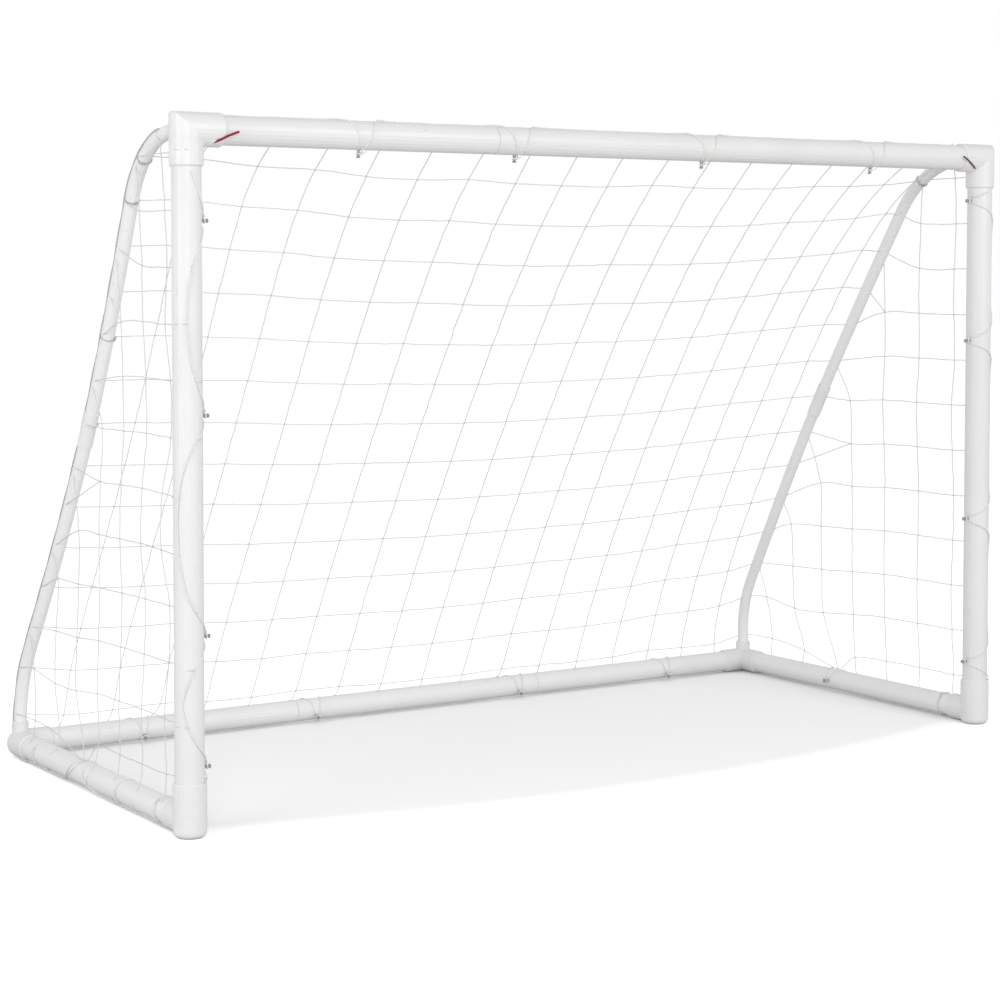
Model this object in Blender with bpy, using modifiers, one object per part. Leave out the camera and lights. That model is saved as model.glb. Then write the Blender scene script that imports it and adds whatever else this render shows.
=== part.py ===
"""Garden soccer goal: push-fit plastic tube frame, moulded corner fittings, two bent
back stays, push-in net pegs and a square-mesh net in three panels.

Metres, +Z up. X runs along the crossbar, the mouth faces -Y, the origin is on the
floor under the middle of the frame's bounding box.
"""

import math

import bmesh
import bpy
from mathutils import Matrix, Vector

# Frame: tube centre lines
SPAN = 1.830
DEPTH = 0.765
TOP_Z = 1.190
GROUND_Z = 0.0265
# Tubes
MAIN_R = 0.0255
GROUND_R = 0.0230
STAY_R = 0.0125
MAIN_WALL = 0.0024
STAY_WALL = 0.0015
GAP = 0.0003
# Moulded sockets
MAIN_SOCKET_R = 0.0292
GROUND_SOCKET_R = 0.0265
STAY_SOCKET_R = 0.0165
SOCKET_REACH = 0.062
SOCKET_DEPTH = 0.030
FOOT_SOCKET_TOP = 0.092
STAY_BOSS_REACH = 0.046
STAY_BORE_DEPTH = 0.030
REAR_BOSS_TOP = 0.070
RIM_CHAMFER = 0.0022
# Back stays, in the plane of their upright
STAY_LEAN = math.radians(60.0)
STAY_TOP_BEND_R = 0.210
STAY_LOW_BEND_R = 0.280
STAY_BOW = 0.024
COUPLER_R = 0.0143
COUPLER_LENGTH = 0.076
COUPLER_Z = 0.662
# Push-fit joints along the long bars
JOINT_X = 0.305
JOINER_LENGTH = 0.120
JOINER_WALL = 0.0022
JOINER_SHIFT = 0.022
SEAM = 0.0010
# Net pegs
PEG_STEM_R = 0.0025
PEG_HEAD_R = 0.0042
PEG_REACH = 0.0140
PEG_ROOT = 0.0060
LEFT_PEG_Z = (0.116, 0.338, 0.711, 1.038)
RIGHT_PEG_Z = (0.133, 0.435, 0.809, 1.101)
CROSSBAR_PEG_X = (-0.585, -0.258, 0.174, 0.606)
REAR_PEG_X = (-0.660, -0.263, 0.254, 0.668)
SIDE_PEG_Y = 0.435
# Net
MESH = 0.100
TWINE = 0.0024
BACK_COLUMNS = 17
BACK_ROWS = 13
BACK_SAG = 0.050
TUBE_SIDES = 24

Y_FRONT = (MAIN_SOCKET_R - GROUND_SOCKET_R - DEPTH) / 2.0
Y_REAR = Y_FRONT + DEPTH
HALF = SPAN / 2.0


def clear_scene():
    for obj in list(bpy.data.objects):
        bpy.data.objects.remove(obj, do_unlink=True)
    parts = bpy.data.collections.new("soccer_goal_frame")
    cutters = bpy.data.collections.new("cutters")
    bpy.context.scene.collection.children.link(parts)
    bpy.context.scene.collection.children.link(cutters)
    return parts, cutters


PARTS, CUTTERS = clear_scene()


# ---------------------------------------------------------------- materials
def plastic(name, color, roughness):
    mat = bpy.data.materials.new(name)
    mat.use_nodes = True
    shader = mat.node_tree.nodes["Principled BSDF"]
    shader.inputs["Base Color"].default_value = (*color, 1.0)
    shader.inputs["Roughness"].default_value = roughness
    shader.inputs["Metallic"].default_value = 0.0
    return mat


def tube_material():
    return plastic("tube_pvc", (0.86, 0.86, 0.85), 0.35)


def fitting_material():
    return plastic("fitting_moulded", (0.88, 0.88, 0.87), 0.42)


def stay_material():
    return plastic("stay_tube", (0.78, 0.79, 0.80), 0.45)


def joiner_material():
    return plastic("joiner_plastic", (0.80, 0.80, 0.79), 0.50)


def peg_material():
    return plastic("peg_plastic", (0.70, 0.70, 0.69), 0.50)


def net_material():
    return plastic("net_twine", (0.82, 0.82, 0.80), 0.80)


# ------------------------------------------------------------------ helpers
def move_to(obj, collection):
    for owner in list(obj.users_collection):
        owner.objects.unlink(obj)
    collection.objects.link(obj)


def as_cutter(obj):
    move_to(obj, CUTTERS)
    obj.hide_render = True
    obj.display_type = "WIRE"
    return obj


def aim(direction):
    """Rotation that turns +Z to the direction."""
    return Vector(direction).to_track_quat("Z", "Y").to_euler()


def cylinder(name, start, end, radius, sides=TUBE_SIDES, fill="NGON"):
    start = Vector(start)
    end = Vector(end)
    bpy.ops.mesh.primitive_cylinder_add(
        vertices=sides,
        radius=radius,
        depth=(end - start).length,
        end_fill_type=fill,
        location=(start + end) / 2.0,
        rotation=aim(end - start),
    )
    obj = bpy.context.object
    obj.name = name
    obj.data.name = name
    move_to(obj, PARTS)
    return obj


def apply_modifiers(obj):
    graph = bpy.context.evaluated_depsgraph_get()
    mesh = bpy.data.meshes.new_from_object(obj.evaluated_get(graph))
    obj.modifiers.clear()
    obj.data = mesh
    return obj


def boolean(obj, operand, operation):
    mod = obj.modifiers.new(operation.lower(), "BOOLEAN")
    mod.operation = operation
    mod.solver = "EXACT"
    mod.object = operand
    apply_modifiers(obj)


def cut(obj, cutter):
    boolean(obj, as_cutter(cutter), "DIFFERENCE")


def merge(obj, other):
    boolean(obj, other, "UNION")
    as_cutter(other)


def dress(obj, material):
    obj.data.materials.clear()
    obj.data.materials.append(material)
    obj.data.shade_smooth()
    obj.data.set_sharp_from_angle(angle=math.radians(32.0))
    obj.data.name = obj.name
    return obj


def hollow(obj, wall):
    """Gives an open-ended tube its wall, inwards."""
    mod = obj.modifiers.new("wall", "SOLIDIFY")
    mod.thickness = wall
    mod.offset = -1.0
    mod.use_even_offset = True
    return apply_modifiers(obj)


def chamfer_rim(obj, width):
    """Bevels the sharp end circles of a closed cylinder."""
    mod = obj.modifiers.new("rim", "BEVEL")
    mod.width = width
    mod.segments = 1
    mod.limit_method = "ANGLE"
    mod.angle_limit = math.radians(60.0)
    return apply_modifiers(obj)


# ----------------------------------------------------------- straight tubes
def tube(name, start, end, radius, pegs, material):
    """A hollow push-fit tube with a hole through one wall at each peg."""
    obj = hollow(cylinder(name, start, end, radius, fill="NOTHING"), MAIN_WALL)
    for number, (point, direction) in enumerate(pegs):
        inner = Vector(point) - Vector(direction) * 0.004
        outer = Vector(point) + Vector(direction) * 0.004
        hole = cylinder(f"{name}_hole_{number}", inner, outer, PEG_STEM_R + GAP, 8)
        cut(obj, hole)
    return dress(obj, material)


def upright_pegs(side):
    surface = side * (HALF - MAIN_R)
    heights = LEFT_PEG_Z if side < 0 else RIGHT_PEG_Z
    return [((surface, Y_FRONT, z), (-side, 0.0, 0.0)) for z in heights]


def crossbar_pegs():
    return [((x, Y_FRONT, TOP_Z - MAIN_R), (0.0, 0.0, -1.0)) for x in CROSSBAR_PEG_X]


def rear_pegs():
    down = math.radians(25.0)
    direction = Vector((0.0, -math.cos(down), -math.sin(down)))
    foot = Vector((0.0, Y_REAR, GROUND_Z)) + direction * GROUND_R
    return [((x, foot.y, foot.z), tuple(direction)) for x in REAR_PEG_X]


def side_pegs(side):
    surface = side * (HALF - GROUND_R)
    return [((surface, Y_FRONT + SIDE_PEG_Y, GROUND_Z), (-side, 0.0, 0.0))]


def pegs_between(pegs, low, high):
    return [peg for peg in pegs if low < peg[0][0] < high]


def build_tubes(material):
    top_end = TOP_Z - SOCKET_REACH + SOCKET_DEPTH - SEAM
    foot_end = FOOT_SOCKET_TOP - SOCKET_DEPTH + SEAM
    bar_end = HALF - SOCKET_REACH + SOCKET_DEPTH - SEAM
    side_front = Y_FRONT + SOCKET_REACH - SOCKET_DEPTH + SEAM
    side_rear = Y_REAR - SOCKET_REACH + SOCKET_DEPTH - SEAM
    for label, side in (("left", -1), ("right", 1)):
        x = side * HALF
        tube(f"upright_{label}", (x, Y_FRONT, foot_end), (x, Y_FRONT, top_end),
             MAIN_R, upright_pegs(side), material)
        tube(f"side_bar_{label}", (x, side_front, GROUND_Z), (x, side_rear, GROUND_Z),
             GROUND_R, side_pegs(side), material)
    crossbar = (("crossbar_left", -bar_end, -JOINT_X - SEAM / 2.0),
                ("crossbar_right", -JOINT_X + SEAM / 2.0, bar_end))
    for name, low, high in crossbar:
        tube(name, (low, Y_FRONT, TOP_Z), (high, Y_FRONT, TOP_Z), MAIN_R,
             pegs_between(crossbar_pegs(), low, high), material)
    rear = (("rear_bar_left", -bar_end, -JOINT_X - SEAM / 2.0),
            ("rear_bar_middle", -JOINT_X + SEAM / 2.0, JOINT_X - SEAM / 2.0),
            ("rear_bar_right", JOINT_X + SEAM / 2.0, bar_end))
    for name, low, high in rear:
        tube(name, (low, Y_REAR, GROUND_Z), (high, Y_REAR, GROUND_Z), GROUND_R,
             pegs_between(rear_pegs(), low, high), material)


# ---------------------------------------------------------- internal joiners
def joiner(name, x, y, z, tube_radius, material):
    """A sleeve inside two tube ends, shifted outwards to stop short of a peg's root."""
    half = JOINER_LENGTH / 2.0
    radius = tube_radius - MAIN_WALL - GAP
    obj = cylinder(name, (x - half, y, z), (x + half, y, z), radius, fill="NOTHING")
    return dress(hollow(obj, JOINER_WALL), material)


def build_joiners(material):
    x = JOINT_X + JOINER_SHIFT
    joiner("crossbar_joiner", -x, Y_FRONT, TOP_Z, MAIN_R, material)
    joiner("rear_joiner_left", -x, Y_REAR, GROUND_Z, GROUND_R, material)
    joiner("rear_joiner_right", x, Y_REAR, GROUND_Z, GROUND_R, material)


# ------------------------------------------------------------ corner fittings
def socket_arm(name, start, end, radius):
    return chamfer_rim(cylinder(name, start, end, radius), RIM_CHAMFER)


def bore(obj, name, mouth, inward, depth, radius):
    """A blind bore from just outside the mouth to its depth."""
    inward = Vector(inward)
    start = Vector(mouth) - inward * 0.002
    end = Vector(mouth) + inward * depth
    cut(obj, cylinder(name, start, end, radius))


def mitred_corner(name, corner, arm_a, arm_b, radius, reach):
    """Two equal round arms that meet in a 45 degree mitre, closed at both mouths."""
    corner = Vector(corner)
    arm_a = Vector(arm_a)
    arm_b = Vector(arm_b)
    obj = cylinder(name, corner - arm_a * radius * 2.0, corner + arm_a * reach, radius)
    normal = (arm_b - arm_a).normalized()
    bm = bmesh.new()
    bm.from_mesh(obj.data)
    bm.transform(obj.matrix_world)
    faces = bm.verts[:] + bm.edges[:] + bm.faces[:]
    bmesh.ops.bisect_plane(bm, geom=faces, plane_co=corner, plane_no=normal,
                           clear_outer=True, dist=1e-7)
    flip = Matrix.Identity(4)
    for row in range(3):
        for col in range(3):
            flip[row][col] -= 2.0 * normal[row] * normal[col]
    mirror = Matrix.Translation(corner) @ flip @ Matrix.Translation(-corner)
    copy = bmesh.ops.duplicate(bm, geom=bm.verts[:] + bm.edges[:] + bm.faces[:])
    twins = [item for item in copy["geom"] if isinstance(item, bmesh.types.BMVert)]
    bmesh.ops.transform(bm, matrix=mirror, verts=twins)
    bmesh.ops.remove_doubles(bm, verts=bm.verts[:], dist=1e-5)
    bmesh.ops.recalc_face_normals(bm, faces=bm.faces[:])
    obj.matrix_world = Matrix.Identity(4)
    bm.to_mesh(obj.data)
    bm.free()
    return chamfer_rim(obj, RIM_CHAMFER)


def top_corner(name, side, material):
    """Three-way fitting: crossbar, upright and, from behind, the back stay."""
    corner = Vector((side * HALF, Y_FRONT, TOP_Z))
    inward = Vector((-side, 0.0, 0.0))
    down = Vector((0.0, 0.0, -1.0))
    back = Vector((0.0, 1.0, 0.0))
    obj = mitred_corner(name, corner, inward, down, MAIN_SOCKET_R, SOCKET_REACH)
    boss = socket_arm(f"{name}_boss", corner + back * 0.010,
                      corner + back * STAY_BOSS_REACH, STAY_SOCKET_R)
    merge(obj, boss)
    main_bore = MAIN_R + GAP
    bore(obj, f"{name}_bore_a", corner + inward * SOCKET_REACH, -inward,
         SOCKET_DEPTH, main_bore)
    bore(obj, f"{name}_bore_b", corner + down * SOCKET_REACH, -down,
         SOCKET_DEPTH, main_bore)
    bore(obj, f"{name}_bore_c", corner + back * STAY_BOSS_REACH, -back,
         STAY_BORE_DEPTH, STAY_R + GAP)
    return dress(obj, material)


def front_foot(name, side, material):
    """Elbow under an upright, with the side bar's socket to the rear."""
    x = side * HALF
    foot = Vector((x, Y_FRONT, 0.0))
    back = Vector((0.0, 1.0, 0.0))
    obj = cylinder(name, foot, foot + Vector((0.0, 0.0, FOOT_SOCKET_TOP)), MAIN_SOCKET_R)
    round_foot(obj, 0.011)
    leg_start = Vector((x, Y_FRONT + 0.004, GROUND_Z))
    leg_end = Vector((x, Y_FRONT + SOCKET_REACH, GROUND_Z))
    merge(obj, socket_arm(f"{name}_leg", leg_start, leg_end, GROUND_SOCKET_R))
    bore(obj, f"{name}_bore_a", (x, Y_FRONT, FOOT_SOCKET_TOP), (0.0, 0.0, -1.0),
         SOCKET_DEPTH, MAIN_R + GAP)
    bore(obj, f"{name}_bore_b", leg_end, -back, SOCKET_DEPTH, GROUND_R + GAP)
    return dress(obj, material)


def round_foot(obj, radius):
    """Rounds the lower end circle of an upright cylinder and chamfers its mouth."""
    bm = bmesh.new()
    bm.from_mesh(obj.data)
    lowest = min(vert.co.z for vert in bm.verts)
    ends = [edge for edge in bm.edges if abs(edge.verts[0].co.z - edge.verts[1].co.z) < 1e-6]
    low = [edge for edge in ends if edge.verts[0].co.z < lowest + 1e-4]
    high = [edge for edge in ends if edge.verts[0].co.z > lowest + 1e-4]
    bmesh.ops.bevel(bm, geom=low, offset=radius, segments=4, profile=0.5, affect="EDGES")
    bmesh.ops.bevel(bm, geom=high, offset=RIM_CHAMFER, segments=1, affect="EDGES")
    bm.to_mesh(obj.data)
    bm.free()


def rear_corner(name, side, material):
    """Three-way fitting on the floor: side bar, rear bar and, on top, the stay."""
    corner = Vector((side * HALF, Y_REAR, GROUND_Z))
    inward = Vector((-side, 0.0, 0.0))
    front = Vector((0.0, -1.0, 0.0))
    up = Vector((0.0, 0.0, 1.0))
    bpy.ops.mesh.primitive_uv_sphere_add(segments=TUBE_SIDES, ring_count=12,
                                         radius=GROUND_SOCKET_R, location=corner)
    obj = bpy.context.object
    obj.name = name
    move_to(obj, PARTS)
    boss_top = corner + up * (REAR_BOSS_TOP - GROUND_Z)
    shy = GROUND_SOCKET_R - 0.00012
    merge(obj, socket_arm(f"{name}_arm_a", corner + inward * 0.004,
                          corner + inward * SOCKET_REACH, shy))
    merge(obj, socket_arm(f"{name}_arm_b", corner + front * 0.004,
                          corner + front * SOCKET_REACH, shy - 0.00012))
    merge(obj, socket_arm(f"{name}_boss", corner + up * 0.005, boss_top, STAY_SOCKET_R))
    bore(obj, f"{name}_bore_a", corner + inward * SOCKET_REACH, -inward,
         SOCKET_DEPTH, GROUND_R + GAP)
    bore(obj, f"{name}_bore_b", corner + front * SOCKET_REACH, -front,
         SOCKET_DEPTH, GROUND_R + GAP)
    bore(obj, f"{name}_bore_c", boss_top, -up, STAY_BORE_DEPTH, STAY_R + GAP)
    return dress(obj, material)


def build_fittings(material):
    for label, side in (("left", -1), ("right", 1)):
        top_corner(f"top_corner_{label}", side, material)
        front_foot(f"front_foot_{label}", side, material)
        rear_corner(f"rear_corner_{label}", side, material)


# --------------------------------------------------------------- back stays
def stay_profile():
    """Centre line as (y, z): level out of the top fitting, bent down, straight,
    then bent upright into the rear fitting."""
    low_turn = math.pi / 2.0 - STAY_LEAN
    low_tangent = STAY_LOW_BEND_R * math.tan(low_turn / 2.0)
    top_tangent = STAY_TOP_BEND_R * math.tan(STAY_LEAN / 2.0)
    slope = (math.cos(STAY_LEAN), math.sin(STAY_LEAN))
    top_y = Y_FRONT + STAY_BOSS_REACH
    knee_z = TOP_Z - (Y_REAR - top_y - top_tangent) / slope[0] * slope[1]

    points = [(top_y - STAY_BORE_DEPTH + SEAM, TOP_Z)]
    for step in range(9):
        angle = math.pi / 2.0 - STAY_LEAN * step / 8.0
        points.append((top_y + STAY_TOP_BEND_R * math.cos(angle),
                       TOP_Z + STAY_TOP_BEND_R * (math.sin(angle) - 1.0)))
    top_end = points[-1]
    for z in (0.970, 0.850, COUPLER_Z + 0.055, COUPLER_Z - 0.055, 0.500, 0.400, 0.310):
        y = top_end[0] + (top_end[1] - z) * slope[0] / slope[1]
        points.append((y, z))
    for step in range(6):
        angle = low_turn * (1.0 - step / 5.0)
        points.append((Y_REAR + STAY_LOW_BEND_R * (math.cos(angle) - 1.0),
                       knee_z - low_tangent + STAY_LOW_BEND_R * math.sin(angle)))
    points.append((Y_REAR, REAR_BOSS_TOP))
    points.append((Y_REAR, REAR_BOSS_TOP - STAY_BORE_DEPTH + SEAM))
    return points


def stay_path(side):
    """The profile in space, bowed inwards by the pull of the net."""
    path = []
    for y, z in stay_profile():
        share = (TOP_Z - z) / (TOP_Z - REAR_BOSS_TOP)
        bow = STAY_BOW * math.sin(math.pi * min(max(share, 0.0), 1.0)) ** 1.2
        path.append(Vector((side * (HALF - bow), y, z)))
    return path


def split_path(path, z):
    """The path above and below a height, with the point at that height in each."""
    above = [point for point in path if point.z > z]
    below = [point for point in path if point.z <= z]
    share = (above[-1].z - z) / (above[-1].z - below[0].z)
    cut_point = above[-1].lerp(below[0], share)
    return above + [cut_point], [cut_point] + below


def stay_tube(name, path, material):
    """A hollow bent tube on a poly spline."""
    curve = bpy.data.curves.new(name, "CURVE")
    curve.dimensions = "3D"
    curve.bevel_depth = STAY_R
    curve.bevel_resolution = 4
    curve.use_fill_caps = False
    spline = curve.splines.new("POLY")
    spline.points.add(len(path) - 1)
    for point, place in zip(spline.points, path):
        point.co = (*place, 1.0)
    line = bpy.data.objects.new(f"{name}_path", curve)
    PARTS.objects.link(line)
    bpy.context.view_layer.update()
    graph = bpy.context.evaluated_depsgraph_get()
    mesh = bpy.data.meshes.new_from_object(line.evaluated_get(graph))
    bm = bmesh.new()
    bm.from_mesh(mesh)
    bmesh.ops.remove_doubles(bm, verts=bm.verts[:], dist=1e-6)
    bmesh.ops.recalc_face_normals(bm, faces=bm.faces[:])
    bm.to_mesh(mesh)
    bm.free()
    bpy.data.objects.remove(line, do_unlink=True)
    obj = bpy.data.objects.new(name, mesh)
    PARTS.objects.link(obj)
    bpy.context.view_layer.update()
    return dress(hollow(obj, STAY_WALL), material)


def coupler(name, path, material):
    """The moulded sleeve over the butted ends of the two stay tubes."""
    above, below = split_path(path, COUPLER_Z)
    middle = below[0]
    half = (above[-2] - below[1]).normalized() * COUPLER_LENGTH / 2.0
    obj = cylinder(name, middle - half, middle + half, COUPLER_R)
    chamfer_rim(obj, 0.0006)
    cut(obj, cylinder(f"{name}_bore", middle - half * 1.1, middle + half * 1.1,
                      STAY_R + 1.5 * GAP))
    return dress(obj, material)


def build_stays(tube_mat, coupler_mat):
    for label, side in (("left", -1), ("right", 1)):
        path = stay_path(side)
        upper = split_path(path, COUPLER_Z + SEAM / 2.0)[0]
        lower = split_path(path, COUPLER_Z - SEAM / 2.0)[1]
        stay_tube(f"stay_upper_{label}", upper, tube_mat)
        stay_tube(f"stay_lower_{label}", lower, tube_mat)
        coupler(f"stay_coupler_{label}", path, coupler_mat)


# --------------------------------------------------------------------- pegs
def peg(name, point, direction, material):
    """A turned push-in peg: root in the tube wall, stem, and a mushroom head."""
    profile = (
        (0.0, PEG_REACH),
        (PEG_HEAD_R * 0.7, PEG_REACH - 0.0004),
        (PEG_HEAD_R, PEG_REACH - 0.0018),
        (PEG_HEAD_R * 0.8, PEG_REACH - 0.0034),
        (PEG_STEM_R, PEG_REACH - 0.0042),
        (PEG_STEM_R, -PEG_ROOT),
        (0.0, -PEG_ROOT),
    )
    mesh = bpy.data.meshes.new(name)
    bm = bmesh.new()
    verts = [bm.verts.new((r, 0.0, z)) for r, z in profile]
    for first, second in zip(verts, verts[1:]):
        bm.edges.new((first, second))
    bm.to_mesh(mesh)
    bm.free()
    obj = bpy.data.objects.new(name, mesh)
    PARTS.objects.link(obj)
    turn = obj.modifiers.new("turn", "SCREW")
    turn.axis = "Z"
    turn.steps = 8
    turn.render_steps = 8
    turn.use_merge_vertices = True
    turn.merge_threshold = 0.0001
    turn.use_normal_calculate = True
    obj.location = point
    obj.rotation_euler = aim(direction)
    bpy.context.view_layer.update()
    return dress(apply_modifiers(obj), material)


def build_pegs(material):
    groups = (
        ("upright_left", upright_pegs(-1)),
        ("upright_right", upright_pegs(1)),
        ("crossbar", crossbar_pegs()),
        ("rear_bar", rear_pegs()),
        ("side_bar_left", side_pegs(-1)),
        ("side_bar_right", side_pegs(1)),
    )
    for label, pegs in groups:
        for number, (point, direction) in enumerate(pegs, start=1):
            peg(f"net_peg_{label}_{number}", point, direction, material)


# ---------------------------------------------------------------------- net
def lattice(name, bm, material):
    """Turns each face of a sheet into an open mesh with square-section twine."""
    holes = bm.faces[:]
    bmesh.ops.inset_individual(bm, faces=holes, thickness=TWINE / 2.0)
    bmesh.ops.delete(bm, geom=holes, context="FACES_ONLY")
    mesh = bpy.data.meshes.new(name)
    bm.to_mesh(mesh)
    bm.free()
    obj = bpy.data.objects.new(name, mesh)
    PARTS.objects.link(obj)
    mod = obj.modifiers.new("twine", "SOLIDIFY")
    mod.thickness = TWINE
    mod.offset = 0.0
    bpy.context.view_layer.update()
    return dress(apply_modifiers(obj), material)


def back_net(material):
    """The sheet between the stays, from the crossbar down to the rear bar."""
    half_width = HALF - 0.060
    top = Vector((0.0, Y_FRONT + 0.040, TOP_Z - 0.004))
    shoulder = Vector((0.0, Y_FRONT + 0.215, TOP_Z - 0.120))
    bottom = Vector((0.0, Y_REAR - 0.004, GROUND_Z + GROUND_R + 0.008))
    bm = bmesh.new()
    bmesh.ops.create_grid(bm, x_segments=BACK_COLUMNS, y_segments=BACK_ROWS, size=1.0)
    for vert in bm.verts:
        across = vert.co.x
        down = (1.0 - vert.co.y) / 2.0
        line = top.lerp(bottom, down)
        bulge = 4.0 * down * (1.0 - down) * (1.0 - 0.45 * down)
        out = (shoulder - top.lerp(bottom, 0.18)) * bulge
        sag = BACK_SAG * (1.0 - across * across) * math.sin(math.pi * down)
        spot = line + out * 0.9 + Vector((0.0, -0.85, -0.5)) * sag
        vert.co = (across * half_width, spot.y, spot.z)
    return lattice("net_back", bm, material)


def side_net(name, side, material):
    """The sheet between an upright, its stay and the side bar."""
    profile = stay_profile()
    low = GROUND_Z + GROUND_R + 0.010
    front = Y_FRONT + MAIN_R + 0.008
    bm = bmesh.new()
    bmesh.ops.create_grid(bm, x_segments=7, y_segments=11, size=1.0)
    for vert in bm.verts:
        column = (vert.co.x + 1.0) * 3.5
        row = (vert.co.y + 1.0) * 5.5
        vert.co = (side * HALF, front + column * MESH, low + row * MESH)
    inset = 0.030
    for first, second in zip(profile[1::2], profile[3::2]):
        along = Vector((0.0, second[0] - first[0], second[1] - first[1])).normalized()
        outward = Vector((0.0, -along.z, along.y))
        plane = Vector((side * HALF, first[0], first[1])) - outward * inset
        geometry = bm.verts[:] + bm.edges[:] + bm.faces[:]
        bmesh.ops.bisect_plane(bm, geom=geometry, plane_co=plane, plane_no=outward,
                               clear_outer=True, dist=1e-6)
    slivers = [face for face in bm.faces if face.calc_area() < 0.0012]
    bmesh.ops.delete(bm, geom=slivers, context="FACES")
    return lattice(name, bm, material)


def build_net(material):
    back_net(material)
    side_net("net_left", -1, material)
    side_net("net_right", 1, material)


build_tubes(tube_material())
build_joiners(joiner_material())
build_fittings(fitting_material())
build_stays(stay_material(), fitting_material())
build_pegs(peg_material())
build_net(net_material())
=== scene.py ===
"""Garden soccer goal: white push-fit plastic tube frame with two bent back stays, moulded
corner fittings, net pegs and a square-mesh net laced to the frame in three panels.
"""
import math

import bmesh
import bpy
import numpy as np
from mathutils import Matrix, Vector


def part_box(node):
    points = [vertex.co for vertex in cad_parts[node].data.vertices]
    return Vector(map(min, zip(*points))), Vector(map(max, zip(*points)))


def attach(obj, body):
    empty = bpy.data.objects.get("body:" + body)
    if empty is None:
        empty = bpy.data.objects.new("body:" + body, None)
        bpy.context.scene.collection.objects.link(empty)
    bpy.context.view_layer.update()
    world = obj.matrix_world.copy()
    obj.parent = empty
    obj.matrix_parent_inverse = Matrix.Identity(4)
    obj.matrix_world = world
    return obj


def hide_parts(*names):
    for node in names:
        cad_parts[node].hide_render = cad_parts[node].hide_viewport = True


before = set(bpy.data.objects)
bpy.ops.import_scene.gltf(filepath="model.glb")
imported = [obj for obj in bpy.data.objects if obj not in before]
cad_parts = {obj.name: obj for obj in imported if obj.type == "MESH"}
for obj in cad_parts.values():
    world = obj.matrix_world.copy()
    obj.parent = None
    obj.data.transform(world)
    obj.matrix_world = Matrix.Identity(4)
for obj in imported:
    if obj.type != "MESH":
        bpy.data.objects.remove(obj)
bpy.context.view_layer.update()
bpy.ops.object.select_all(action="DESELECT")


# --- Uprights and crossbar -------------------------------------------------------------------
# White extruded uPVC tube, 51 mm across. The die leaves faint lines along each length, and
# handling leaves a soft grey bloom and a few short scuffs. The crossbar is two lengths pushed
# over a hidden sleeve.

class Shade:
    """A value on its way to a shader, which can be used in a sum."""

    def __init__(self, finish, socket):
        self.finish, self.socket = finish, socket

    def sum(self, operation, first, second, clamp=False):
        return self.finish.node("ShaderNodeMath", {"operation": operation, "use_clamp": clamp},
                                {0: first, 1: second})

    def __add__(self, other):
        return self.sum("ADD", self, other)

    def __sub__(self, other):
        return self.sum("SUBTRACT", self, other)

    def __mul__(self, other):
        return self.sum("MULTIPLY", self, other)

    def __truediv__(self, other):
        return self.sum("DIVIDE", self, other)

    def __pow__(self, other):
        return self.sum("POWER", self, other)

    def __rsub__(self, other):
        return self.sum("SUBTRACT", other, self)

    def __rtruediv__(self, other):
        return self.sum("DIVIDE", other, self)

    __radd__, __rmul__ = __add__, __mul__

    def held(self):
        return self.sum("ADD", self, 0.0, clamp=True)


class Finish:
    """One material and the nodes that feed its shader."""

    def __init__(self, name, **fixed):
        self.material = bpy.data.materials.new(name)
        self.material.use_nodes = True
        self.tree = self.material.node_tree
        self.tree.nodes.clear()
        self.shader = self.tree.nodes.new("ShaderNodeBsdfPrincipled")
        self.output = self.tree.nodes.new("ShaderNodeOutputMaterial")
        self.tree.links.new(self.shader.outputs[0], self.output.inputs[0])
        for socket, value in fixed.items():
            self.shader.inputs[socket.replace("_", " ")].default_value = value

    def put(self, socket, value):
        if isinstance(value, Shade):
            self.tree.links.new(value.socket, socket)
        elif isinstance(value, tuple) and len(value) == 3 and socket.type == "RGBA":
            socket.default_value = (*value, 1.0)
        else:
            socket.default_value = value

    def node(self, kind, settings=None, sockets=None, out=0):
        made = self.tree.nodes.new(kind)
        for setting, value in (settings or {}).items():
            if setting == "stops":
                for stop, (place, level) in zip(made.color_ramp.elements, value):
                    stop.position, stop.color = place, (level, level, level, 1.0)
            else:
                setattr(made, setting, value)
        for socket, value in (sockets or {}).items():
            self.put(made.inputs[socket], value)
        return Shade(self, made.outputs[out])

    def place(self, scale=(1.0, 1.0, 1.0)):
        here = self.node("ShaderNodeTexCoord", out="Object")
        return self.node("ShaderNodeMapping", {}, {"Vector": here, "Scale": scale})

    def noise(self, vector, scale, detail=3.0, roughness=0.55):
        return self.node("ShaderNodeTexNoise", {}, {"Vector": vector, "Scale": scale,
                                                    "Detail": detail, "Roughness": roughness})

    def ramp(self, value, low, high):
        return self.node("ShaderNodeValToRGB", {"stops": ((low, 0.0), (high, 1.0))}, {0: value})

    def colour(self, mask, first, second):
        return self.node("ShaderNodeMix", {"data_type": "RGBA"}, {0: mask, 6: first, 7: second},
                         out=2)

    def feed(self, height=None, strength=0.2, depth=0.0005, **values):
        for socket, value in values.items():
            self.put(self.shader.inputs[socket.replace("_", " ")], value)
        if height is not None:
            bump = self.node("ShaderNodeBump", {}, {"Height": height, "Strength": strength,
                                                    "Distance": depth})
            self.put(self.shader.inputs["Normal"], bump)


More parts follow.
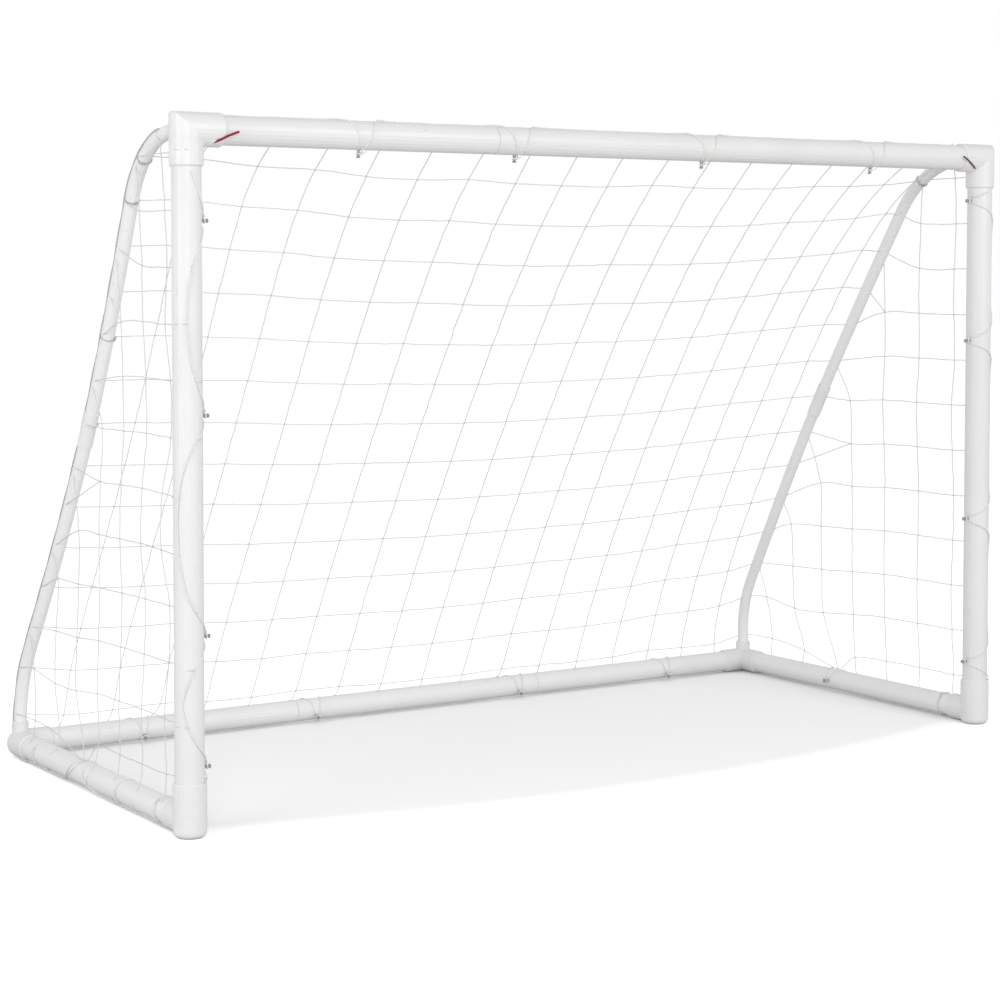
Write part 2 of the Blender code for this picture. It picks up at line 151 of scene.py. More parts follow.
def drawn_tube(name, along, body=(0.87, 0.87, 0.865), dull=(0.80, 0.80, 0.79), gloss=0.30):
    finish = Finish(name, IOR=1.53)
    lines = finish.noise(finish.place(tuple(2.5 if k == along else 430.0 for k in range(3))),
                         1.0, 4.0)
    bloom = finish.ramp(finish.noise(finish.place(), 5.5, 5.0, 0.6), 0.42, 0.72)
    scuff = finish.ramp(finish.noise(finish.place(tuple(14.0 if k == along else 52.0
                                                        for k in range(3))), 1.6, 6.0, 0.72),
                        0.635, 0.70)
    grain = finish.noise(finish.place(), 900.0, 2.0)
    colour = finish.colour(bloom * 0.55, body, dull)
    colour = finish.colour(scuff * 0.35, colour, (0.53, 0.53, 0.52))
    colour = finish.colour(lines * 0.12, colour, (0.58, 0.58, 0.58))
    finish.feed(Base_Color=colour, Roughness=(gloss + bloom * 0.10 + lines * 0.08
                                              + scuff * 0.18).held(),
                height=lines * 0.7 + grain * 0.25 + scuff * 0.2, strength=0.22, depth=0.0004)
    return finish.material


def coat(material, *names):
    for name in names:
        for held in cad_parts[name].material_slots:
            held.material = material


coat(drawn_tube("upright_tube", 2), "upright_left", "upright_right")
coat(drawn_tube("crossbar_tube", 0), "crossbar_left", "crossbar_right")


# --- Ground bars -----------------------------------------------------------------------------
# The side bars and the three lengths of rear bar are 46 mm tube of the same plastic. They lie
# on the ground, so they are a little duller, with more scuffs underneath. Their colour is set
# lighter than the uprights': painted light that makes up for the light they get less of.

coat(drawn_tube("side_bar_tube_painted_light", 1, (0.93, 0.93, 0.925), (0.88, 0.88, 0.87), 0.34),
     "side_bar_left", "side_bar_right")
coat(drawn_tube("rear_bar_tube_painted_light", 0, (0.93, 0.93, 0.925), (0.88, 0.88, 0.87), 0.34),
     "rear_bar_left", "rear_bar_middle", "rear_bar_right")


# --- Corner fittings -------------------------------------------------------------------------
# Injection-moulded white uPVC: two top corners, two front feet and two rear corners. The mould
# leaves a fine orange-peel skin and faint flow clouds, and dirt gathers where sockets meet.

def moulded(name, body, dull, gloss, peel=260.0):
    finish = Finish(name, IOR=1.53)
    skin = finish.noise(finish.place(), peel, 3.0, 0.5)
    flow = finish.ramp(finish.noise(finish.place((1.0, 1.0, 2.2)), 16.0, 4.0, 0.6), 0.40, 0.75)
    specks = finish.ramp(finish.noise(finish.place(), 420.0, 2.0, 0.5), 0.70, 0.76)
    colour = finish.colour(flow * 0.5, body, dull)
    colour = finish.colour(specks * 0.22, colour, (0.45, 0.44, 0.42))
    finish.feed(Base_Color=colour, Roughness=(gloss + flow * 0.10 + skin * 0.06).held(),
                height=skin * 0.8 + flow * 0.3, strength=0.20, depth=0.0005)
    return finish.material


coat(moulded("corner_moulding", (0.86, 0.86, 0.855), (0.79, 0.79, 0.78), 0.30),
     "top_corner_left", "top_corner_right", "front_foot_left", "front_foot_right",
     "rear_corner_left", "rear_corner_right")


# --- Back stays ------------------------------------------------------------------------------
# Thin bent tube, 25 mm across, in two lengths each side with a push-on coupler between them.
# The thinner plastic is greyer than the rest and shows long soft marks from bending. Its colour
# is set lighter than the other tubes' all the same: painted light that makes up for the light
# its down-facing sides get less of.

def bent_tube(name, body, dull):
    finish = Finish(name, IOR=1.5)
    bend = finish.ramp(finish.noise(finish.place((40.0, 6.0, 4.0)), 1.0, 4.0, 0.6), 0.38, 0.74)
    grain = finish.noise(finish.place(), 700.0, 2.0)
    rub = finish.ramp(finish.noise(finish.place(), 95.0, 5.0, 0.7), 0.60, 0.68)
    colour = finish.colour(bend * 0.6, body, dull)
    colour = finish.colour(rub * 0.25, colour, (0.42, 0.42, 0.42))
    finish.feed(Base_Color=colour, Roughness=(0.36 + bend * 0.10 + rub * 0.12).held(),
                height=bend * 0.6 + grain * 0.3, strength=0.20, depth=0.0004)
    return finish.material


coat(bent_tube("stay_tube", (0.93, 0.93, 0.93), (0.88, 0.88, 0.88)),
     "stay_upper_left", "stay_upper_right", "stay_lower_left", "stay_lower_right")
coat(moulded("stay_coupler_moulding", (0.90, 0.90, 0.905), (0.84, 0.84, 0.84), 0.34),
     "stay_coupler_left", "stay_coupler_right")


# --- Sleeves inside the long bars ------------------------------------------------------------
# Matt moulded sleeves, seen only as a thin band where two lengths of tube meet.

coat(moulded("sleeve_moulding", (0.60, 0.60, 0.59), (0.52, 0.52, 0.51), 0.46, 180.0),
     "crossbar_joiner", "rear_joiner_left", "rear_joiner_right")


# --- Net pegs --------------------------------------------------------------------------------
# Small moulded pegs pushed into the tubes, coloured dark grey all over: painted shade for the
# shade on their stems. Each has a round head that the net's edge cord is hooked behind.

peg_nodes = sorted(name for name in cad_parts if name.startswith("net_peg"))
coat(moulded("peg_moulding_painted_shade", (0.36, 0.36, 0.355), (0.28, 0.28, 0.275), 0.42, 500.0), *peg_nodes)


# --- Where the net runs ----------------------------------------------------------------------
# The net is one bag of white knotted twine with a square mesh of about 100 mm. Its edge cord
# runs round the frame and dips behind each peg, and the stays run inside its back corners.

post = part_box("upright_left"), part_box("upright_right")
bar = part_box("crossbar_left"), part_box("crossbar_right")
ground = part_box("rear_bar_left"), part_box("rear_bar_right")
POST_X = (post[1][0].x + post[1][1].x) / 2
FRONT_Y = (post[1][0].y + post[1][1].y) / 2
REAR_Y = (ground[0][0].y + ground[0][1].y) / 2
BAR_Z = (bar[0][0].z + bar[0][1].z) / 2
GROUND_Z = (ground[0][0].z + ground[0][1].z) / 2
BAR_R = (bar[0][1].z - bar[0][0].z) / 2
GROUND_R = (ground[0][1].z - ground[0][0].z) / 2
STAY_R = 0.0125
TWINE_R = 0.0009
CORD_R = 0.0013


def middle(node):
    low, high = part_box(node)
    return (low + high) / 2


def pegs(start, axis):
    return [middle(name)[axis] for name in peg_nodes if name.startswith(start)]


POST_PEGS = {-1: pegs("net_peg_upright_left", 2), 1: pegs("net_peg_upright_right", 2)}
BAR_PEGS = pegs("net_peg_crossbar", 0)
REAR_PEGS = pegs("net_peg_rear_bar", 0)
SIDE_PEG = {-1: pegs("net_peg_side_bar_left", 1), 1: pegs("net_peg_side_bar_right", 1)}


def dip(place, centres, spread):
    """1 where the cord passes a peg, falling away from it, with room for the peg's stem."""
    near = min(abs(place - centre) for centre in centres)
    return math.exp(-(math.hypot(near, 0.004) - 0.004) / spread)


def post_edge(side, z):
    out = 34.0 if side < 0 and z > sorted(POST_PEGS[side])[2] else 72.0
    angle = math.radians(out - (out + 98.0) * dip(z, POST_PEGS[side], 0.050 if side < 0 else 0.020))
    reach = BAR_R + CORD_R
    return np.array([side * (POST_X + reach * math.sin(angle)),
                     FRONT_Y - reach * math.cos(angle), z])


def bar_edge(x):
    angle = math.radians(70.0 + 208.0 * dip(x, BAR_PEGS, 0.017))
    reach = BAR_R + CORD_R
    return np.array([x, FRONT_Y + reach * math.cos(angle), BAR_Z + reach * math.sin(angle)])


def rear_edge(x):
    angle = math.radians(-60.0 + 273.0 * dip(x, REAR_PEGS, 0.024))
    reach = GROUND_R + CORD_R
    return np.array([x, REAR_Y + reach * math.cos(angle), GROUND_Z + reach * math.sin(angle)])


def side_edge(side, y):
    angle = math.radians(-60.0 + 245.0 * dip(y, SIDE_PEG[side], 0.024))
    reach = GROUND_R + CORD_R
    return np.array([side * (POST_X + reach * math.cos(angle)), y,
                     GROUND_Z + reach * math.sin(angle)])


def stay_line(side):
    """The stay's middle line, from its boss on the top corner to the rear corner."""
    lean, top_bend, low_bend = math.radians(60.0), 0.210, 0.280
    boss = FRONT_Y + 0.046
    turn = math.pi / 2 - lean
    knee = BAR_Z - (REAR_Y - boss - top_bend * math.tan(lean / 2)) * math.tan(lean)
    low = knee - low_bend * math.tan(turn / 2)
    line = [(boss - 0.02, BAR_Z)]
    for step in range(9):
        angle = math.pi / 2 - lean * step / 8
        line.append((boss + top_bend * math.cos(angle),
                     BAR_Z + top_bend * (math.sin(angle) - 1)))
    for step in range(6):
        angle = turn * (1 - step / 5)
        line.append((REAR_Y + low_bend * (math.cos(angle) - 1),
                     low + low_bend * math.sin(angle)))
    line += [(REAR_Y, 0.070), (REAR_Y, 0.030)]
    line = np.array(line)
    gone = np.r_[0.0, np.cumsum(np.linalg.norm(np.diff(line, axis=0), axis=1))]
    steps = np.linspace(0.0, gone[-1], 60)
    y, z = np.interp(steps, gone, line[:, 0]), np.interp(steps, gone, line[:, 1])
    share = np.clip((BAR_Z - z) / (BAR_Z - 0.070), 0.0, 1.0)
    bow = 0.024 * np.sin(np.pi * share) ** 1.2
    return np.stack([side * (POST_X - bow), y, z], 1)


def along(line, distance):
    gone = np.r_[0.0, np.cumsum(np.linalg.norm(np.diff(line, axis=0), axis=1))]
    return np.array([np.interp(distance, gone, line[:, axis]) for axis in range(3)])


def seam_point(side, distance, turn=40.0, lift=TWINE_R):
    """A point on the outer back of the stay, where the back net meets the side net."""
    line = stay_line(side)
    here = along(line, distance)
    run = along(line, distance + 0.005) - along(line, distance - 0.005)
    run /= np.linalg.norm(run)
    back = np.array([0.0, -run[2], run[1]])
    angle = math.radians(turn)
    out = np.array([side, 0.0, 0.0]) * math.cos(angle) + back * math.sin(angle)
    return here + out * (STAY_R + lift)


# --- Net: hanging the three panels -----------------------------------------------------------
# The back panel is 18 meshes wide and 15 deep, and the side panels narrow towards the top
# under the stays. The knots are let down onto the frame until every mesh has its own length.

COLUMNS, ROWS = 18, 15
SEAM_FIRST, SEAM_STEP = 0.1585, 0.0941
SIDE_ROWS = ((1,), (2,), (3,), (5, 4), (6,), (7,), (8, 9), (10,), (11,), (12,), (13,), (14,))
knots, held, ties, strands, caught = [], [], [], [], {}


def knot(place, fixed=False):
    knots.append(np.array(place, float))
    held.append(fixed)
    return len(knots) - 1


def tie(first, second, length=None):
    if length is None:
        length = np.linalg.norm(knots[first] - knots[second]) * 0.98
    ties.append((first, second, length))


seam = {side: [knot(seam_point(side, SEAM_FIRST + SEAM_STEP * (row - 1)), True)
               for row in range(ROWS)] for side in (-1, 1)}
back = {}
for column in range(1, COLUMNS):
    middle_out = column - COLUMNS / 2
    back[column, 0] = knot(bar_edge(middle_out * 0.1070 + 0.028), True)
    back[column, ROWS] = knot(rear_edge(middle_out * 0.1058 + 0.004), True)
    share = column / COLUMNS
    for row in range(1, ROWS):
        left, right = knots[seam[-1][row]], knots[seam[1][row]]
        sag = np.array([0.0, -0.06, -0.03]) * math.sin(math.pi * share)
        back[column, row] = knot(left * (1 - share) + right * share + sag)
for row in range(1, ROWS):
    line = [seam[-1][row]] + [back[column, row] for column in range(1, COLUMNS)] + [seam[1][row]]
    strands.append(("back", line))
    for first, second in zip(line, line[1:]):
        tie(first, second, 0.0970)
for column in range(1, COLUMNS):
    line = [back[column, row] for row in range(ROWS + 1)]
    strands.append(("back", line))
    for row, (first, second) in enumerate(zip(line, line[1:])):
        tie(first, second, 0.125 if row == 0 else 0.0666 if row == ROWS - 1 else 0.0940)
for side in (-1, 1):
    panel = "left" if side < 0 else "right"
    hung = {}
    for row, seams in enumerate(SIDE_ROWS, 1):
        z = 1.155 - 0.0965 * (row - 1)
        end = min(knots[seam[side][at]][1] for at in seams)
        line = [knot(post_edge(side, z), True)]
        while FRONT_Y + 0.085 + 0.100 * (len(line) - 1) < end - 0.045:
            y = FRONT_Y + 0.085 + 0.100 * (len(line) - 1)
            line.append(knot((side * (POST_X + 0.027), y, z)))
            hung[len(line) - 1, row] = line[-1]
        if row == 12:
            caught[side] = min(line[1:], key=lambda one: abs(knots[one][1] - SIDE_PEG[side][0]))
            knots[caught[side]] = np.array([side * (POST_X + 0.006), SIDE_PEG[side][0],
                                            GROUND_Z + GROUND_R + TWINE_R])
            held[caught[side]] = True
        for first, second in zip(line, line[1:]):
            tie(first, second, 0.099)
        for at in seams:
            tie(line[-1], seam[side][at])
            strands.append((panel, line + [seam[side][at]] if at == seams[0]
                            else [line[-1], seam[side][at]]))
    for column in range(1, 9):
        line = [hung[column, row] for row in range(1, 13) if (column, row) in hung]
        if not line:
            continue
        above = knots[line[0]] + np.array([0.0, 0.0, 0.08])
        top = min(seam[side], key=lambda at: np.linalg.norm(knots[at] - above))
        foot = knot(side_edge(side, FRONT_Y + 0.085 + 0.100 * (column - 1)), True)
        strands.append((panel, [top] + line + [foot]))
        tie(top, line[0])
        for first, second in zip(line, line[1:] + [foot]):
            tie(first, second, 0.128 if second == caught[side] else 0.0965)

rods = []
for side in (-1, 1):
    x = side * POST_X
    rods += [((x, FRONT_Y, 0.03), (x, FRONT_Y, BAR_Z), BAR_R),
             ((x, FRONT_Y, GROUND_Z), (x, REAR_Y, GROUND_Z), GROUND_R),
             ((x, FRONT_Y, BAR_Z), (x - side * 0.062, FRONT_Y, BAR_Z), 0.0292),
             ((x, FRONT_Y, BAR_Z), (x, FRONT_Y, BAR_Z - 0.062), 0.0292),
             ((x, FRONT_Y, 0.030), (x, FRONT_Y, 0.092), 0.0292),
             ((x, REAR_Y, GROUND_Z), (x, REAR_Y - 0.062, GROUND_Z), 0.0265),
             ((x, REAR_Y, GROUND_Z), (x - side * 0.062, REAR_Y, GROUND_Z), 0.0265)]
    route = stay_line(side)[::2]
    rods += [(first, second, STAY_R) for first, second in zip(route, route[1:])]
rods += [((-POST_X, FRONT_Y, BAR_Z), (POST_X, FRONT_Y, BAR_Z), BAR_R),
         ((-POST_X, REAR_Y, GROUND_Z), (POST_X, REAR_Y, GROUND_Z), GROUND_R)]
rod_start, rod_end, rod_r = (np.array([rod[part] for rod in rods], float) for part in range(3))


def clear_of_rods(places, margin):
    """Moves any point that is inside a tube out to its surface."""
    run = rod_end - rod_start
    off = places[:, None, :] - rod_start[None]
    share = np.clip((off * run).sum(2) / (run * run).sum(1), 0.0, 1.0)
    off -= run[None] * share[..., None]
    far = np.linalg.norm(off, axis=2)
    deep = rod_r + margin - far
    worst = deep.argmax(1)
    each = np.arange(len(places))
    push = np.maximum(deep[each, worst], 0.0) / np.maximum(far[each, worst], 1e-9)
    return places + off[each, worst] * push[:, None]


hanging = np.array(knots)
loose = ~np.array(held)
start = np.array([one[0] for one in ties])
finish_at = np.array([one[1] for one in ties])
length = np.array([one[2] for one in ties])
speed = np.zeros_like(hanging)
SETTLE_STEPS, CALM_FROM = 2200, 1320
STIFFNESS, WEIGHT = 0.2, 0.0000129
for step in range(SETTLE_STEPS):
    gap = hanging[finish_at] - hanging[start]
    now = np.linalg.norm(gap, axis=1)
    pull = (STIFFNESS * np.maximum(now - length, 0.0) / now)[:, None] * gap
    force = np.zeros_like(hanging)
    np.add.at(force, start, pull)
    np.add.at(force, finish_at, -pull)
    force[:, 2] -= WEIGHT
    speed = (speed + force) * (0.985 if step < CALM_FROM else 0.93)
    speed[~loose] = 0.0
    hanging += speed
    if step % 5 == 0:
        hanging[loose] = clear_of_rods(hanging[loose], TWINE_R)


# --- Net: twine and knots --------------------------------------------------------------------
# Each run of twine is a thin twisted strand, slightly crooked between its knots. A small
# tight knot sits at every crossing.

wander = np.random.default_rng(11)


def rounded(line, parts=5):
    """A smooth line through the points."""
    line = np.asarray(line, float)
    whole = np.vstack([2 * line[0] - line[1], line, 2 * line[-1] - line[-2]])
    made = []
    for at in range(len(line) - 1):
        before, here, there, after = whole[at:at + 4]
        for part in range(parts):
            t = part / parts
            made.append(0.5 * (2 * here + (there - before) * t
                               + (2 * before - 5 * here + 4 * there - after) * t * t
                               + (3 * here - before - 3 * there + after) * t ** 3))
    made.append(line[-1])
    return np.array(made)


class Bundle:
    """Vertices, faces and lengthwise map of many strands, to become one mesh."""

    def __init__(self):
        self.places, self.faces, self.maps = [], [], []

    def strand(self, line, radius, sides=6):
        line = np.asarray(line, float)
        runs = np.gradient(line, axis=0)
        runs /= np.linalg.norm(runs, axis=1)[:, None]
        gone = np.r_[0.0, np.cumsum(np.linalg.norm(np.diff(line, axis=0), axis=1))]
        across = np.cross(runs[0], (0.0, 0.0, 1.0) if abs(runs[0][2]) < 0.9 else (1.0, 0.0, 0.0))
        first = len(self.places)
        turns = np.arange(sides) * 2 * math.pi / sides
        for here, run in zip(line, runs):
            across = across - run * np.dot(across, run)
            across /= np.linalg.norm(across)
            other = np.cross(run, across)
            for turn in turns:
                self.places.append(here + radius * (math.cos(turn) * across
                                                    + math.sin(turn) * other))
        for ring in range(len(line) - 1):
            for side in range(sides):
                after = (side + 1) % sides
                a, b = first + ring * sides, first + (ring + 1) * sides
                self.faces.append((a + side, a + after, b + after, b + side))
                self.maps.append(((side / sides, gone[ring]), ((side + 1) / sides, gone[ring]),
                                  ((side + 1) / sides, gone[ring + 1]),
                                  (side / sides, gone[ring + 1])))
        last = first + (len(line) - 1) * sides
        self.faces.append(tuple(range(first + sides - 1, first - 1, -1)))
        self.faces.append(tuple(range(last, last + sides)))
        self.maps += [((0.0, 0.0),) * sides, ((0.0, gone[-1]),) * sides]

    def copy_of(self, shape, here, axes):
        first = len(self.places)
        self.places += [here + axes @ np.array(vertex.co) for vertex in shape.vertices]
        for face in shape.polygons:
            self.faces.append(tuple(first + corner for corner in face.vertices))
            self.maps.append(tuple((0.3, 0.004 * k) for k in range(len(face.vertices))))

    def piece(self, name, material, slot, *nodes):
        mesh = bpy.data.meshes.new(name)
        mesh.from_pydata([tuple(place) for place in self.places], [], self.faces)
        flat = [value for face in self.maps for pair in face for value in pair]
        mesh.uv_layers.new(name="lay").data.foreach_set("uv", flat)
        mesh.polygons.foreach_set("use_smooth", [True] * len(mesh.polygons))
        mesh.materials.append(material)
        mesh.update()
        made = bpy.data.objects.new(name, mesh)
        bpy.context.scene.collection.objects.link(made)
        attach(made, "root")
        if nodes:
            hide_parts(*nodes)
        return made


def twisted(name, body, dull, lays, ply=3.0):
    """Twine of a few plies: the valleys between them run round it once every lay, and are coloured
    darker as painted shade.
    """
    finish = Finish(name, IOR=1.5, Specular_IOR_Level=0.35)
    lay = finish.node("ShaderNodeUVMap", {"uv_map": "lay"})
    parts = finish.node("ShaderNodeSeparateXYZ", {}, {0: lay})
    length_on = Shade(finish, parts.socket.node.outputs[1])
    wave = finish.node("ShaderNodeMath", {"operation": "SINE"},
                       {0: parts * (2 * math.pi * ply) + length_on * (2 * math.pi * lays)})
    ridge = wave * 0.5 + 0.5
    fibre = finish.noise(finish.place(), 1400.0, 3.0, 0.6)
    age = finish.ramp(finish.noise(finish.place(), 9.0, 4.0, 0.6), 0.35, 0.75)
    # Painted shade: the valleys between plies take the dull colour; the age blotches are random
    # tone.
    colour = finish.colour((ridge * 0.7 + fibre * 0.3).held(), dull, body)
    colour = finish.colour(age * 0.35, colour, dull)
    finish.feed(Base_Color=colour, Roughness=(0.72 - ridge * 0.12 + fibre * 0.1).held(),
                height=ridge * 0.8 + fibre * 0.3, strength=0.7, depth=0.0004)
    return finish.material


net_twine = twisted("net_twine", (0.86, 0.86, 0.85), (0.68, 0.68, 0.675), 130.0)
edge_cord = twisted("edge_cord", (0.90, 0.90, 0.89), (0.80, 0.80, 0.79), 90.0)

# A darker grey copy of the cord for the stay seams and windings: painted shade for the shadowed gap
# along the stays.
seam_cord_painted_shade = twisted("seam_cord_painted_shade", (0.70, 0.70, 0.69), (0.38, 0.38, 0.375), 90.0)

bpy.ops.object.select_all(action="DESELECT")
bpy.ops.mesh.primitive_uv_sphere_add(segments=8, ring_count=5, radius=1.0)
bead = bpy.context.object
bpy.ops.object.mode_set(mode="EDIT")
bpy.ops.mesh.select_all(action="SELECT")
bpy.ops.transform.resize(value=(0.0022, 0.0018, 0.0015))
bpy.ops.mesh.select_all(action="DESELECT")
shaping = bmesh.from_edit_mesh(bead.data)
for vertex in shaping.verts:
    vertex.select = vertex.co.x * vertex.co.y > 1e-7
shaping.select_flush(True)
bmesh.update_edit_mesh(bead.data)
bpy.ops.transform.resize(value=(1.22, 1.22, 1.15))
bpy.ops.object.mode_set(mode="OBJECT")
knot_shape = bead.data
bpy.data.objects.remove(bead)

bundles = {panel: Bundle() for panel in ("back", "left", "right")}
joined = {}
for panel, line in strands:
    path = rounded(hanging[line])
    path[1:-1] += wander.normal(0.0, 0.0004, path[1:-1].shape)
    bundles[panel].strand(clear_of_rods(path, TWINE_R), TWINE_R)
    for at, one in enumerate(line):
        near = hanging[line[min(at + 1, len(line) - 1)]] - hanging[line[max(at - 1, 0)]]
        joined.setdefault(one, (panel, []))[1].append(near / np.linalg.norm(near))
for one, (panel, runs) in joined.items():
    first = runs[0]
    other = runs[1] if len(runs) > 1 else np.array([0.0, 0.3, 1.0])
    through = np.cross(first, other)
    through /= max(np.linalg.norm(through), 1e-6)
    axes = np.stack([first, np.cross(through, first), through], 1)
    bundles[panel].copy_of(knot_shape, hanging[one], axes)
bundles["back"].piece("net_back_panel", net_twine, "net", "net_back")
bundles["left"].piece("net_left_panel", net_twine, "net", "net_left")
bundles["right"].piece("net_right_panel", net_twine, "net", "net_right")


# --- Edge cord -------------------------------------------------------------------------------
# A thicker cord runs through the outer meshes. It lies on the outside of each post and behind
# each bar, and at every peg it crosses the tube and hooks behind the peg's head.

def edge(name, route, low, high, step=0.0045):
    line = np.array([route(value) for value in np.arange(low, high, step)])
    wave = rounded(wander.normal(0.0, 0.0005, (len(line) // 6 + 2, 3)), 6)[:len(line)]
    made = Bundle()
    made.strand(clear_of_rods(line + wave, CORD_R), CORD_R, 8)
    return made.piece(name, edge_cord, "net")


# The seam cord starts above the first seam knot and stops short of the stay's lower end.
SEAM_CORD_LEAD, SEAM_CORD_STEP, SEAM_CORD_POINTS = 0.10, 0.006, 228
for side, word in ((-1, "left"), (1, "right")):
    edge("edge_cord_post_" + word, lambda z: post_edge(side, z), 0.098, 1.122)
    edge("edge_cord_side_" + word, lambda y: side_edge(side, y), FRONT_Y + 0.034, REAR_Y - 0.03)
    seam_cord = Bundle()
    seam_cord.strand([seam_point(side, SEAM_FIRST - SEAM_CORD_LEAD + SEAM_CORD_STEP * step,
                                 40.0 + 9.0 * math.sin(step * 0.39), CORD_R + 0.0002)
                      for step in range(SEAM_CORD_POINTS)], CORD_R, 8)
    seam_cord.piece("seam_cord_" + word, seam_cord_painted_shade, "net")
edge("edge_cord_crossbar", bar_edge, -POST_X + 0.066, POST_X - 0.066)
edge("edge_cord_rear", rear_edge, -POST_X + 0.066, POST_X - 0.066)


# --- Ties and threads ------------------------------------------------------------------------
# Short lengths of the same cord are wound round the ground bars where there is no peg, and
# thinner ones of the darker seam cord round the stays, their grey a painted shade. At the top
# corners the cord ends in crimson and plum thread.

def wound(name, centre, axis, radius, turns, knot_angle, material=edge_cord, thick=CORD_R):
    """A cord wound a few turns round a tube, with an overhand knot and two short tails."""
    along_tube = Vector(axis).normalized()
    side_way = along_tube.cross(Vector((0.0, 0.0, 1.0))).normalized()
    up_way = side_way.cross(along_tube)
    centre = Vector(centre)
    reach = radius + thick * 1.02
    line = []
    for step in range(int(turns * 28) + 1):
        turn = math.radians(knot_angle) + step / 28 * 2 * math.pi
        shift = (step / 28 - turns / 2) * thick * 2.1
        line.append(centre + along_tube * shift
                    + (side_way * math.cos(turn) + up_way * math.sin(turn)) * reach)
    made = Bundle()
    made.strand(line, thick, 8)
    knot_at = math.radians(knot_angle)
    out = side_way * math.cos(knot_at) + up_way * math.sin(knot_at)
    round_way = along_tube.cross(out)
    top = centre + out * (reach + thick * 0.8)
    bow = []
    for step in range(25):
        turn = step / 24 * 2 * math.pi * 1.25
        bow.append(top + round_way * math.cos(turn) * thick * 1.7
                   + along_tube * math.sin(turn) * thick * 1.5
                   + out * thick * (0.5 + 0.8 * math.sin(turn * 1.6)))
    made.strand(bow, thick * 0.9, 7)
    for way in (-1, 1):
        tail = [top + round_way * way * thick * (1.2 + 1.1 * step)
                + along_tube * way * thick * 0.35 * step
                + out * thick * (0.5 + 0.4 * math.sin(step * 0.7)) for step in range(6)]
        made.strand(tail, thick * 0.85, 7)
    return made.piece(name, material, "net")


for word, side, places in (("left", -1, ((0.093, 130.0), (0.255, 188.0), (0.642, 150.0))),
                           ("right", 1, ((0.085, 120.0),))):
    for number, (y, knot_at) in enumerate(places, 1):
        wound(f"tie_side_{word}_{number}", (side * POST_X, FRONT_Y + y, GROUND_Z), (0, 1, 0),
              GROUND_R, 1.3, knot_at)

# The stay windings are in the darker seam cord: painted shade.
for word, side, rows in (("left", -1, (1, 2, 5, 7)), ("right", 1, (1,))):
    for number, row in enumerate(rows, 1):
        at = SEAM_FIRST + SEAM_STEP * (row - 1) - 0.006
        line = stay_line(side)
        wound(f"tie_stay_{word}_{number}", along(line, at),
              along(line, at + 0.01) - along(line, at - 0.01), STAY_R, 1.1, 200.0 + 40.0 * number,
              seam_cord_painted_shade, 0.0010)


def hooked(name, peg, start, end):
    """The edge cord's loop round a peg's stem, behind its head, with the knot beside it."""
    low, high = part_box(peg)
    centre = (low + high) / 2
    start, end = Vector(start), Vector(end)
    share = (centre - start).dot(end - start) / (end - start).length_squared
    on_tube = start + (end - start) * share
    out = (centre - on_tube).normalized()
    tube_way = (end - start).normalized()
    round_way = out.cross(tube_way)
    reach = 0.0025 + CORD_R
    foot = centre + out * 0.0015
    made = Bundle()
    loop = []
    for step in range(31):
        turn = step / 30 * 2 * math.pi * 1.15 - 0.6
        loop.append(foot + (tube_way * math.cos(turn) + round_way * math.sin(turn)) * reach
                    + out * (0.0011 * math.sin(turn * 0.5)))
    made.strand(loop, CORD_R, 8)
    side_of = foot + tube_way * (reach + CORD_R * 1.6)
    bow = []
    for step in range(33):
        turn = step / 32 * 2 * math.pi * 1.5
        bow.append(side_of + tube_way * math.cos(turn) * CORD_R * 1.5
                   + round_way * math.sin(turn) * CORD_R * 1.7
                   + out * CORD_R * 0.9 * math.cos(turn * 0.66 + 0.4))
    made.strand(bow, CORD_R, 8)
    for way in (-1.0, 1.0):
        made.strand([side_of + tube_way * CORD_R * (1.0 + 0.8 * step)
                     + round_way * way * CORD_R * (0.8 + 0.9 * step)
                     - out * CORD_R * 0.12 * step * step for step in range(6)], CORD_R * 0.8, 7)
    return made.piece(name, edge_cord, "net")


for peg in peg_nodes:
    side = -1 if "left" in peg else 1
    if "upright" in peg:
        ends = (side * POST_X, FRONT_Y, 0.0), (side * POST_X, FRONT_Y, BAR_Z)
    elif "side_bar" in peg:
        ends = (side * POST_X, FRONT_Y, GROUND_Z), (side * POST_X, REAR_Y, GROUND_Z)
    elif "crossbar" in peg:
        ends = (-POST_X, FRONT_Y, BAR_Z), (POST_X, FRONT_Y, BAR_Z)
    else:
        ends = (-POST_X, REAR_Y, GROUND_Z), (POST_X, REAR_Y, GROUND_Z)
    hooked(peg.replace("net_peg", "peg_loop"), peg, *ends)

whipping = twisted("whipping_thread", (0.55, 0.022, 0.06), (0.12, 0.006, 0.018), 300.0, 1.0)
plum = twisted("plum_thread", (0.20, 0.05, 0.10), (0.05, 0.015, 0.03), 420.0, 1.0)


def corner_end(name, turns, radius, material):
    """A cord's end lying on the corner: each turn is a place along the bar and an angle."""
    line = rounded([(x, FRONT_Y + (0.0292 + radius) * math.cos(math.radians(angle)),
                     BAR_Z + (0.0292 + radius) * math.sin(math.radians(angle)))
                    for x, angle in turns], 8)
    made = Bundle()
    made.strand(clear_of_rods(line, radius), radius, 8)
    return made.piece(name, material, "net")


corner_end("corner_cord_left", ((-0.897, -70.0), (-0.892, -92.0), (-0.885, -115.0),
                                (-0.877, -137.0), (-0.870, -141.0)), CORD_R, edge_cord)
corner_end("whipping_left", ((-0.874, -136.0), (-0.863, -147.0), (-0.853, -158.0),
                             (-0.843, -166.0), (-0.832, -174.0)), 0.0019, whipping)
corner_end("corner_cord_right", ((0.838, -182.0), (0.847, -172.0), (0.858, -160.0),
                                 (0.870, -146.0), (0.880, -133.0)), 0.0016, plum)
